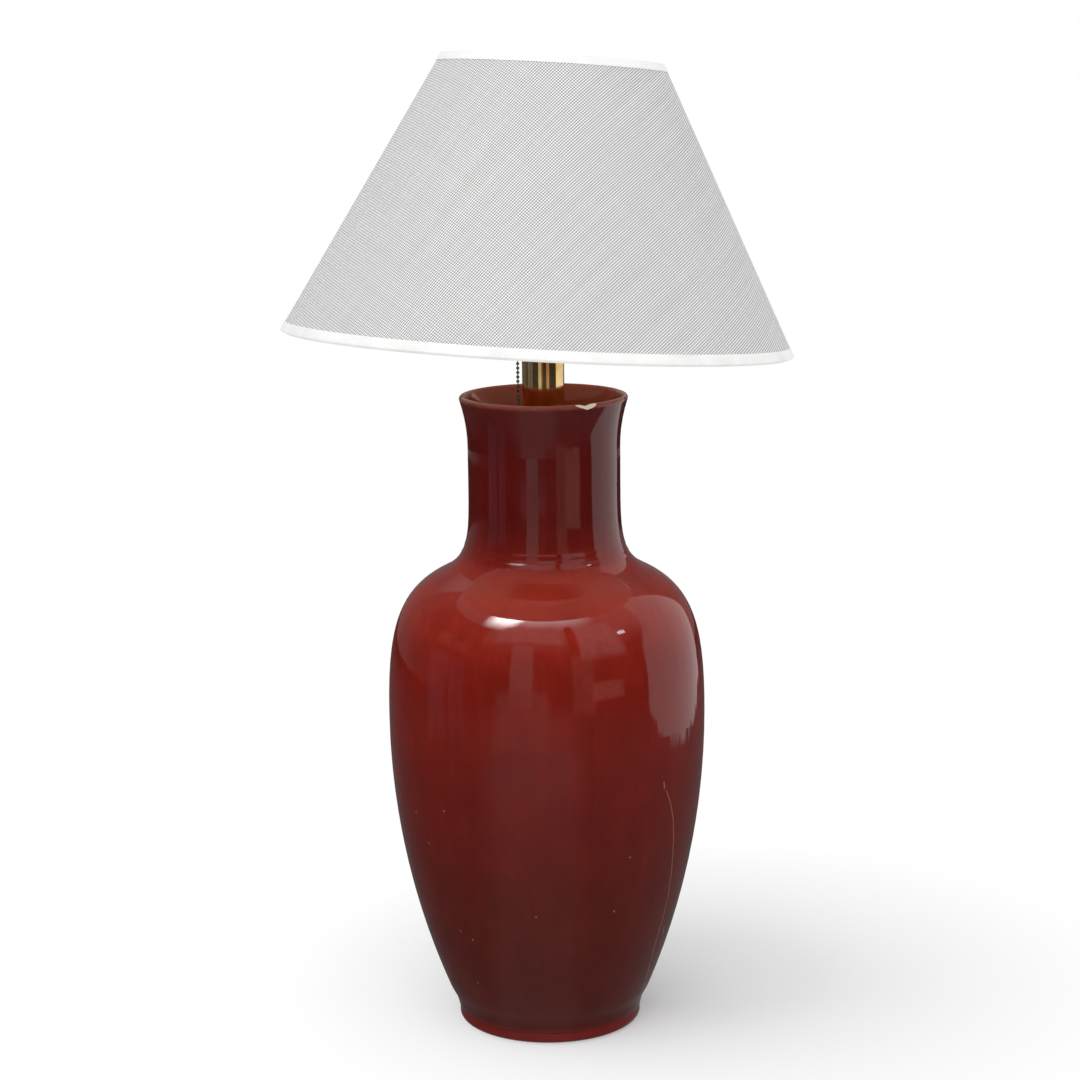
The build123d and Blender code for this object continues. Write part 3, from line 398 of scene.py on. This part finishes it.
# Oxblood glaze on stoneware: glossy, darker towards the foot, lighter on the shoulder, thin and brown on
# the lip, with streaks where it ran, pinholes, a chip that shows the clay, and one long hairline crack
glaze, tree, shader, place = surface("oxblood_glaze", IOR=1.45)
axes = add(tree, "SeparateXYZ", {0: place}).node.outputs
x, y, z = axes["X"], axes["Y"], axes["Z"]
forward = add(tree, "Math", {0: y, 1: -1.0}, operation="MULTIPLY")
turn = add(tree, "Math", {0: x, 1: forward}, operation="ARCTAN2")
flat = add(tree, "CombineXYZ", {"X": x, "Y": y})
radius = add(tree, "VectorMath", {0: flat}, out="Value", operation="LENGTH")
rise = add(tree, "MapRange", {"Value": z, "From Max": vase_height})
# Tone by height, darker towards the foot. The lighter band on the shoulder is partly the glaze's own red and
# partly painted light from above, where the shoulder faces up
tone = add(
    tree, "ValToRGB", {"Fac": rise},
    stops=[
        (0.0, "#6e1a15"), (0.020, "#6e1a15"), (0.026, "#4c140e"), (0.10, "#4d130b"),
        (0.26, "#56140c"), (0.45, "#68150d"), (0.62, "#7e1d13"), (0.71, "#a22e20"),
        (0.742, "#9a2b1e"), (0.757, "#7f1e16"), (0.783, "#6b1911"), (0.822, "#5d1310"),
        (0.95, "#5a110e"), (0.992, "#561410"), (0.9968, "#94453a"), (1.0, "#9a5848"),
    ],
)
stretch = add(tree, "VectorMath", {0: place, 1: (1.0, 1.0, 0.06)}, operation="MULTIPLY")
runs = add(tree, "TexNoise", {"Vector": stretch, "Scale": per(9), "Detail": 4.0, "Roughness": 0.6})
pools = add(tree, "TexNoise", {"Vector": place, "Scale": per(38), "Detail": 3.0})
for pattern, thick, thin in (
    (runs, (0.3, "#eee6e4"), (0.7, "#ffffff")), (pools, (0.32, "#ece4e2"), (0.68, "#ffffff")),
):
    veil = add(tree, "ValToRGB", {"Fac": pattern}, stops=[thick, thin])
    tone = add(
        tree, "Mix", {0: 1.0, 6: tone, 7: veil}, out=2, data_type="RGBA", blend_type="MULTIPLY"
    )
# Thin brown glaze inside, where the wall faces the axis, and bare clay in the recess under the foot
inside_facing = -0.004
facing = add(tree, "TexCoord", out="Normal")
outward = add(tree, "VectorMath", {0: flat, 1: facing}, out="Value", operation="DOT_PRODUCT")
inside = add(tree, "Math", {0: outward, 1: inside_facing}, operation="LESS_THAN")
tone = add(tree, "Mix", {0: inside, 6: tone, 7: srgb("#9c4025")}, out=2, data_type="RGBA")
low = add(tree, "Math", {0: z, 1: recess_height}, operation="LESS_THAN")
recess = add(tree, "Math", {0: radius, 1: recess_radius}, operation="LESS_THAN")
bare = add(tree, "Math", {0: low, 1: recess}, operation="MULTIPLY")
# The chip lies inside the round of the lip
over_lip = add(tree, "Math", {0: radius, 1: lip_radius}, operation="SUBTRACT")
above_lip = add(tree, "Math", {0: z, 1: lip_level}, operation="SUBTRACT")
lip_place = add(tree, "CombineXYZ", {"X": over_lip, "Y": above_lip})
lip_depth = add(tree, "VectorMath", {0: lip_place}, out="Value", operation="LENGTH")
chip = add(tree, "Math", {0: lip_depth, 1: lip_round}, operation="LESS_THAN")
chip_aside = add(tree, "Math", {0: turn, 1: radians(chip_turn)}, operation="SUBTRACT")
chip_aside = add(tree, "Math", {0: chip_aside}, operation="ABSOLUTE")
chip_near = add(tree, "Math", {0: chip_aside, 1: radians(chip_spread)}, operation="LESS_THAN")
chip = add(tree, "Math", {0: chip, 1: chip_near}, operation="MULTIPLY")
bare = add(tree, "Math", {0: bare, 1: chip}, operation="MAXIMUM")
# Hairline crack: its turn round the vase follows from the height, in degrees, up to crack_span
crack_points = (
    (0.0347, 64.8), (0.0475, 63.2), (0.0796, 59.0), (0.0992, 58.9), (0.1148, 59.3), (0.1356, 59.2),
    (0.1636, 57.3), (0.1930, 55.1), (0.2125, 53.3), (0.2292, 50.8), (0.2447, 47.5),
)
crack_span = 90
crack_core, crack_fade, crack_wander = 0.0002, 0.0009, 0.0004
crack_top, crack_bottom = crack_points[-1][0], crack_points[0][0]
along = add(tree, "MapRange", {"Value": z, "From Min": crack_bottom, "From Max": crack_top})
crack_turn = add(tree, "FloatCurve", {"Value": along})
curve = crack_turn.node.mapping.curves[0]
for level, degrees in crack_points[1:-1]:
    curve.points.new((level - crack_bottom) / (crack_top - crack_bottom), degrees / crack_span)
curve.points[0].location = (0, crack_points[0][1] / crack_span)
curve.points[-1].location = (1, crack_points[-1][1] / crack_span)
for point in curve.points:
    point.handle_type = "VECTOR"
crack_turn.node.mapping.update()
crack_angle = add(tree, "Math", {0: crack_turn, 1: radians(crack_span)}, operation="MULTIPLY")
aside = add(tree, "Math", {0: turn, 1: crack_angle}, operation="SUBTRACT")
aside = add(tree, "Math", {0: aside, 1: radius}, operation="MULTIPLY")
wander = add(tree, "TexNoise", {"Vector": place, "Scale": per(7)})
wander = add(tree, "MapRange", {"Value": wander, "To Min": -crack_wander, "To Max": crack_wander})
aside = add(tree, "Math", {0: aside, 1: wander}, operation="ADD")
aside = add(tree, "Math", {0: aside}, operation="ABSOLUTE")
crack = add(tree, "MapRange", {"Value": aside, "From Min": crack_core, "From Max": crack_fade,
                               "To Min": 1.0, "To Max": 0.0})
below = add(tree, "Math", {0: z, 1: crack_top}, operation="LESS_THAN")
above = add(tree, "Math", {0: z, 1: crack_bottom}, operation="GREATER_THAN")
crack = add(tree, "Math", {0: crack, 1: below}, operation="MULTIPLY")
crack = add(tree, "Math", {0: crack, 1: above}, operation="MULTIPLY")
# Nicks where grains broke through the glaze and three small flakes, by turn in degrees and height
girth = 0.135
nick_core, nick_fade, nick_tatter = 0.0004, 0.0013, 0.0008
nicks = (
    (-5.3, 0.138), (-41.6, 0.113), (-35.6, 0.107), (-39.2, 0.060), (-40.5, 0.231), (-57.3, 0.221),
    (-51.1, 0.195), (31.9, 0.189), (27.2, 0.138), (128.0, 0.170), (165.0, 0.240), (-118.0, 0.205),
    (-150.0, 0.090), (-95.0, 0.330), (102.0, 0.290),
)
flakes = (
    ((46.4, 0.2475), (46.0, 0.2525)), ((63.6, 0.1023), (65.0, 0.0942)),
    ((65.2, 0.0335), (64.2, 0.0410)),
)


def unroll(degrees, level):
    """The place of a turn and a height on the wall laid flat."""
    return Vector((radians(degrees) * girth, level, 0.0))


round_way = add(tree, "Math", {0: turn, 1: girth}, operation="MULTIPLY")
unrolled = add(tree, "CombineXYZ", {"X": round_way, "Y": z})
nearest = None
for start, end in [(nick, nick) for nick in nicks] + list(flakes):
    way = unroll(*end) - unroll(*start)
    spot = add(tree, "VectorMath", {0: unrolled, 1: unroll(*start)}, operation="SUBTRACT")
    if way.length:
        share = add(tree, "VectorMath", {0: spot, 1: way}, out="Value", operation="DOT_PRODUCT")
        share = add(tree, "MapRange", {"Value": share, "From Max": way.length_squared})
        foot = add(tree, "VectorMath", {0: way, "Scale": share}, operation="SCALE")
        spot = add(tree, "VectorMath", {0: spot, 1: foot}, operation="SUBTRACT")
    apart = add(tree, "VectorMath", {0: spot}, out="Value", operation="LENGTH")
    if nearest:
        apart = add(tree, "Math", {0: apart, 1: nearest}, operation="MINIMUM")
    nearest = apart
ragged = add(tree, "TexNoise", {"Vector": place, "Scale": per(2), "Detail": 2.0})
ragged = add(tree, "MapRange", {"Value": ragged, "To Min": -nick_tatter, "To Max": nick_tatter})
nearest = add(tree, "Math", {0: nearest, 1: ragged}, operation="ADD")
specks = add(tree, "MapRange", {"Value": nearest, "From Min": nick_core, "From Max": nick_fade,
                                "To Min": 1.0, "To Max": 0.0})
# Crack and nicks show the clay through a film of glaze and lie a little deeper than the gentle waves
scar_strength, scar_depth = 0.36, 0.25
clay_roughness = 0.85
scars = add(tree, "Math", {0: crack, 1: specks}, operation="MAXIMUM")
scars = add(tree, "Math", {0: scars, 1: scar_strength}, operation="MULTIPLY")
tone = add(tree, "Mix", {0: scars, 6: tone, 7: srgb("#b98468")}, out=2, data_type="RGBA")
tone = add(tree, "Mix", {0: bare, 6: tone, 7: srgb("#fff5e8")}, out=2, data_type="RGBA")
smear = add(tree, "TexNoise", {"Vector": place, "Scale": per(60), "Detail": 5.0})
gloss = add(tree, "MapRange", {"Value": smear, "To Min": 0.03, "To Max": 0.09})
rough = add(tree, "Mix", {0: bare, 2: gloss, 3: clay_roughness})
waves = add(tree, "TexNoise", {"Vector": place, "Scale": per(45), "Detail": 2.0})
pits = add(tree, "Math", {0: scars, 1: -scar_depth}, operation="MULTIPLY")
relief = add(tree, "Math", {0: waves, 1: pits}, operation="ADD")
bump = add(tree, "Bump", {"Height": relief, "Strength": 1.0, "Distance": 0.0003})
keep_finish("glaze", glaze, shader, Base_Color=tone, Roughness=rough, Normal=bump)


def mottled(slot, name, tones, grain_mm, gloss, relief_mm, relief_grain_mm, **sockets):
    """A finish with two close tones in patches, uneven gloss and a fine relief."""
    material, tree, shader, place = surface(name, **sockets)
    patches = add(
        tree, "TexNoise", {"Vector": place, "Scale": per(grain_mm), "Detail": 5.0, "Roughness": 0.6}
    )
    tone = add(tree, "ValToRGB", {"Fac": patches}, stops=[(0.35, tones[0]), (0.65, tones[1])])
    shine = add(tree, "MapRange", {"Value": patches, "To Min": gloss[0], "To Max": gloss[1]})
    texture = add(tree, "TexNoise", {"Vector": place, "Scale": per(relief_grain_mm), "Detail": 3.0})
    bump = add(tree, "Bump", {"Height": texture, "Distance": relief_mm / 1000})
    keep_finish(slot, material, shader, Base_Color=tone, Roughness=shine, Normal=bump)


# Moulded pieces: satin plastic, matt rubber and dark phenolic with its faint swirl
mottled("black_plastic", "moulded_black_plastic", ("#171717", "#1d1d1d"), 4, (0.35, 0.5), 0.02, 0.6)
mottled("rubber", "moulded_rubber", ("#1c1b1b", "#262525"), 3, (0.75, 0.95), 0.05, 0.8)
mottled("phenolic", "moulded_phenolic", ("#1a1513", "#2a211d"), 6, (0.25, 0.4), 0.02, 1.0)
# Fibre tube: brown board with short fibres
mottled("cardboard", "fibre_board", ("#5d4630", "#77593d"), 1.2, (0.8, 0.95), 0.08, 0.7)
# Zinc plated steel: grey with a faint straw bloom
mottled("steel", "zinc_plated_steel", ("#b9b9b6", "#cfcdc4"), 5, (0.22, 0.4), 0.015, 0.8,
        Metallic=1.0)
# Brass plate on steel, drawn brass and bare brass: the same metal from bright to dulled
mottled("brass_plate", "brass_plate", ("#c9a35c", "#dcb96f"), 9, (0.14, 0.26), 0.012, 1.5,
        Metallic=1.0)
mottled("socket_brass", "drawn_brass", ("#b8954f", "#d0ab63"), 7, (0.2, 0.34), 0.012, 0.8,
        Metallic=1.0)
mottled("bare_brass", "bare_brass", ("#a98a4f", "#c9a768"), 4, (0.28, 0.45), 0.02, 0.7,
        Metallic=1.0)
# Rolled aluminium bulb cap, drawn tungsten wire
mottled("bulb_metal", "rolled_aluminium", ("#c9c9ca", "#dededf"), 3, (0.25, 0.4), 0.015, 0.6,
        Metallic=1.0)
mottled("filament", "tungsten_wire", ("#6b6964", "#85827b"), 1, (0.35, 0.5), 0.01, 0.3,
        Metallic=1.0)
# Bulb: milky opal glass, clear stem, black insulating glass
mottled("opal_glass", "opal_glass", ("#efeee9", "#f6f5f1"), 14, (0.12, 0.2), 0.01, 6, IOR=1.5,
        Subsurface_Weight=0.2, Subsurface_Scale=0.004)
mottled("clear_glass", "clear_glass", ("#eef3f2", "#f6f9f8"), 8, (0.02, 0.06), 0.01, 5, IOR=1.5,
        Transmission_Weight=1.0)
mottled("black_glass", "black_glass", ("#0f0f12", "#191a1e"), 3, (0.08, 0.16), 0.01, 2, IOR=1.5)
# Styrene lining, a little yellowed, faintly uneven from its rolling; enamelled fitter wire
mottled("shade_lining", "styrene_sheet", ("#ece6d8", "#f3efe4"), 40, (0.4, 0.55), 0.01, 3)
mottled("white_wire", "white_enamel", ("#e4e3de", "#efeeea"), 6, (0.25, 0.4), 0.03, 1.5)

# Polished brass sleeve under lacquer: a mirror with fine lines round it and faint cloudy tarnish
sleeve_brass, tree, shader, place = surface(
    "polished_brass", Metallic=1.0, Coat_Weight=0.3, Coat_Roughness=0.05
)
clouds = add(tree, "TexNoise", {"Vector": place, "Scale": per(16), "Detail": 4.0})
tone = add(tree, "ValToRGB", {"Fac": clouds}, stops=[(0.3, "#d2ab66"), (0.7, "#ead092")])
gloss = add(tree, "MapRange", {"Value": clouds, "To Min": 0.05, "To Max": 0.13})
rounds = add(tree, "VectorMath", {0: place, 1: (0.05, 0.05, 1.0)}, operation="MULTIPLY")
lines = add(tree, "TexNoise", {"Vector": rounds, "Scale": per(0.5), "Detail": 2.0})
bump = add(tree, "Bump", {"Height": lines, "Strength": 0.4, "Distance": 0.000004})
keep_finish("polished_brass", sleeve_brass, shader, Base_Color=tone, Roughness=gloss, Normal=bump)

# Ball chain of blackened brass, rubbed bright where beads touch
chain_metal, tree, shader, place = surface("blackened_brass", Metallic=0.6)
rub = add(tree, "TexNoise", {"Vector": place, "Scale": per(1.6), "Detail": 4.0})
tone = add(
    tree, "ValToRGB", {"Fac": rub},
    stops=[(0.35, "#45433d"), (0.58, "#6c6860"), (0.72, "#a3946e")],
)
gloss = add(tree, "MapRange", {"Value": rub, "To Min": 0.45, "To Max": 0.2})
dents = add(tree, "TexNoise", {"Vector": place, "Scale": per(0.7)})
bump = add(tree, "Bump", {"Height": dents, "Distance": 0.00004})
keep_finish("dark_chain", chain_metal, shader, Base_Color=tone, Roughness=gloss, Normal=bump)

# Pressed wool felt: short fibres every way, quite matt, with a soft sheen
felt, tree, shader, place = surface("wool_felt", Roughness=1.0, Sheen_Weight=0.3, Sheen_Roughness=0.6)
fibres = add(tree, "TexNoise", {"Vector": place, "Scale": per(0.8), "Detail": 6.0, "Roughness": 0.7})
tone = add(tree, "ValToRGB", {"Fac": fibres}, stops=[(0.35, "#1d2420"), (0.65, "#323c36")])
bump = add(tree, "Bump", {"Height": fibres, "Distance": 0.0003})
keep_finish("felt", felt, shader, Base_Color=tone, Normal=bump)

# Shade cloth: an open plain weave of white threads glued to the lining; the dark grey in its gaps is
# painted shade between the threads. The threads run along the cut's own two directions, so they slant
# at the front of the shade
weft_share = 0.36
slub_grain_mm = 4
cloth_weave, tree, shader, _ = surface("open_weave_cloth", Roughness=0.85, Sheen_Weight=0.25)
cut = add(tree, "UVMap", uv_map="cut")
axes = add(tree, "SeparateXYZ", {0: cut}).node.outputs
# Warp, then weft: where the gap ends and the full thread begins, as shares of the pitch from the gap's
# middle, how its slubs are drawn out, and its whiteness
threads = []
for axis, pitch, gap, stretch, tones in (
    ("X", warp_pitch, (0.07, 0.24), (1.0, 0.02, 1.0), (0.86, 1.0)),
    ("Y", weft_pitch, (0.12, 0.28), (0.02, 1.0, 1.0), (0.74, 0.92)),
):
    count = add(tree, "Math", {0: axes[axis], 1: 1 / pitch}, operation="MULTIPLY")
    thread = add(tree, "Math", {0: count, 1: 0.5}, operation="PINGPONG")
    thread = add(tree, "MapRange", {"Value": thread, "From Min": gap[0], "From Max": gap[1]})
    drawn = add(tree, "VectorMath", {0: cut, 1: stretch}, operation="MULTIPLY")
    slubs = add(tree, "TexNoise", {"Vector": drawn, "Scale": per(slub_grain_mm), "Detail": 3.0})
    white = add(tree, "MapRange", {"Value": slubs, "From Min": 0.3, "From Max": 0.7,
                                   "To Min": tones[0], "To Max": tones[1]})
    threads.append(add(tree, "Math", {0: thread, 1: white}, operation="MULTIPLY"))
weave = add(tree, "Mix", {0: weft_share, 2: threads[0], 3: threads[1]})
# The dark end of this ramp, where both threads leave a gap, is painted shade between the threads
tone = add(tree, "ValToRGB", {"Fac": weave}, stops=[(0.0, "#1c1b1a"), (1.0, "#ffffff")])
# Glue yellowed along the lapped seam, as far in from the cut's end as these angles
glue_edge, glue_full, glue_strength = 0.075, 0.045, 0.2
down = add(tree, "Math", {0: axes["Y"], 1: -1.0}, operation="MULTIPLY")
spread = add(tree, "Math", {0: axes["X"], 1: down}, operation="ARCTAN2")
glue = add(tree, "MapRange", {"Value": spread, "From Min": cut_angle / 2 - glue_edge,
                              "From Max": cut_angle / 2 - glue_full, "To Max": glue_strength})
tone = add(tree, "Mix", {0: glue, 6: tone, 7: srgb("#b79a7c")}, out=2, data_type="RGBA")
bump = add(tree, "Bump", {"Height": weave, "Distance": 0.0002})
keep_finish("shade_cloth", cloth_weave, shader, Base_Color=tone, Normal=bump)

# White cotton tape, closely woven and glued down
tape_cotton, tree, shader, place = surface("cotton_tape", Roughness=0.8, Sheen_Weight=0.15)
weave = add(tree, "TexNoise", {"Vector": place, "Scale": per(0.7), "Detail": 3.0})
soil = add(tree, "TexNoise", {"Vector": place, "Scale": per(25), "Detail": 4.0})
tone = add(tree, "ValToRGB", {"Fac": soil}, stops=[(0.3, "#f0f0ef"), (0.6, "#fafaf9")])
bump = add(tree, "Bump", {"Height": weave, "Distance": 0.0001})
keep_finish("white_tape", tape_cotton, shader, Base_Color=tone, Normal=bump)

for subpart in frame["record"]["subparts"]:
    node = frame["nodes"][subpart["node"]]
    node.data.materials.clear()
    node.data.materials.append(finishes[subpart["material_slot"]])


def finish_piece(name, body, slot, node):
    """Names the active object, and puts it in the place of its node in the frame."""
    piece = bpy.context.object
    piece.name = piece.data.name = name
    piece.data.materials.append(finishes[slot])
    bpy.ops.object.shade_smooth_by_angle(angle=crease_angle)
    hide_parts(node)
    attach(piece, body)
    return piece


# Shade cloth: a flat grid cut to the sector, its own coordinates kept from the cut, then rolled to a
# cone with one end lapped over the other
bpy.ops.object.select_all(action="DESELECT")
bpy.ops.mesh.primitive_grid_add(x_subdivisions=cloth_columns, y_subdivisions=cloth_rows, size=1)
cloth_mesh = bpy.context.object.data
cloth_mesh.uv_layers[0].name = "cut"
lap_from = 2 * pi - lap_climb
flat_places = []
for vertex in cloth_mesh.vertices:
    share, up = vertex.co.x + 0.5, vertex.co.y + 0.5
    spread = (share - 0.5) * cut_angle
    reach = cut_bottom + (cut_top - cut_bottom) * up
    flat_places.append((reach * sin(spread), -reach * cos(spread)))
    turn = share * cut_angle / sin(shade_slant)
    over = max(0.0, min(1.0, (turn - lap_from) / lap_climb))
    proud = lap_rise * over * over * (3 - 2 * over)
    turn += seam_turn
    radius = reach * sin(shade_slant)
    out = shade_front * cos(turn) + shade_right * sin(turn)
    height = (cut_bottom - reach) * cos(shade_slant) - shade_drop
    lift = out * cos(shade_slant) + shade_axis * sin(shade_slant)
    vertex.co = shade_pivot + out * radius + shade_axis * height + lift * proud
for loop in cloth_mesh.loops:
    cloth_mesh.uv_layers[0].data[loop.index].uv = flat_places[loop.vertex_index]
bpy.ops.object.modifier_add(type="SOLIDIFY")
bpy.context.object.modifiers[0].thickness = cloth_thickness
bpy.context.object.modifiers[0].offset = -1
bpy.ops.object.modifier_apply(modifier=bpy.context.object.modifiers[0].name)
shade_cloth = finish_piece("shade_cloth", "shade", "shade_cloth", "shade_cover")


def fold_tape(name, node, radius, height, outside, way):
    """A tape folded round an edge of the shade; way is 1 where the shade rises from the edge."""
    edge = shade_pivot + shade_right * radius + shade_axis * height
    inward = -shade_right * cos(shade_slant) - shade_axis * sin(shade_slant)
    up = (-shade_right * sin(shade_slant) + shade_axis * cos(shade_slant)) * way
    folds = [(tape_outer, tape_outer), (tape_inner, tape_outer)]
    corners = [
        (tape_outer, outside), *folds, (tape_inner, tape_inside),
        (tape_inner - tape_thickness, tape_inside), (tape_inner - tape_thickness, -tape_glue),
        (-tape_glue, -tape_glue), (-tape_glue, outside),
    ]
    bpy.ops.object.select_all(action="DESELECT")
    bpy.ops.mesh.primitive_circle_add(vertices=len(corners), radius=1)
    tape = bpy.context.object
    for vertex, (depth, level) in zip(tape.data.vertices, corners):
        vertex.co = edge + inward * depth + up * level
    bpy.ops.object.mode_set(mode="EDIT")
    mesh = bmesh.from_edit_mesh(tape.data)
    for vertex in mesh.verts:
        vertex.select = corners[vertex.index] in folds
    mesh.select_flush_mode()
    bmesh.update_edit_mesh(tape.data)
    bpy.ops.mesh.bevel(offset=tape_fold_round, segments=tape_fold_steps, affect="VERTICES")
    bpy.ops.mesh.select_all(action="SELECT")
    bpy.ops.mesh.spin(steps=tape_round_steps, angle=2 * pi, center=shade_pivot, axis=shade_axis)
    bpy.ops.mesh.select_all(action="SELECT")
    bpy.ops.mesh.remove_doubles(threshold=merge_distance)
    bpy.ops.mesh.normals_make_consistent(inside=False)
    bpy.ops.object.mode_set(mode="OBJECT")
    return finish_piece(name, "shade", "white_tape", node)


tape_bottom = fold_tape(
    "shade_tape_bottom", "shade_bottom_tape", shade_bottom_radius, -shade_drop, tape_bottom_outside, 1
)
tape_top = fold_tape(
    "shade_tape_top", "shade_top_tape", shade_top_radius, shade_height - shade_drop,
    tape_top_outside, -1,
)

# Felt pad: a thick disc with a soft cut edge
bpy.ops.object.select_all(action="DESELECT")
bpy.ops.mesh.primitive_cylinder_add(
    vertices=felt_sides, radius=felt_radius, depth=felt_thickness, location=(0, 0, felt_thickness / 2)
)
bpy.ops.object.transform_apply(location=True)
bpy.ops.object.mode_set(mode="EDIT")
bpy.ops.mesh.select_all(action="SELECT")
bpy.ops.mesh.bevel(offset=felt_edge_round, segments=felt_edge_steps)
bpy.ops.object.mode_set(mode="OBJECT")
felt_pad = finish_piece("felt_pad", "lamp_base", "felt", "base_felt")
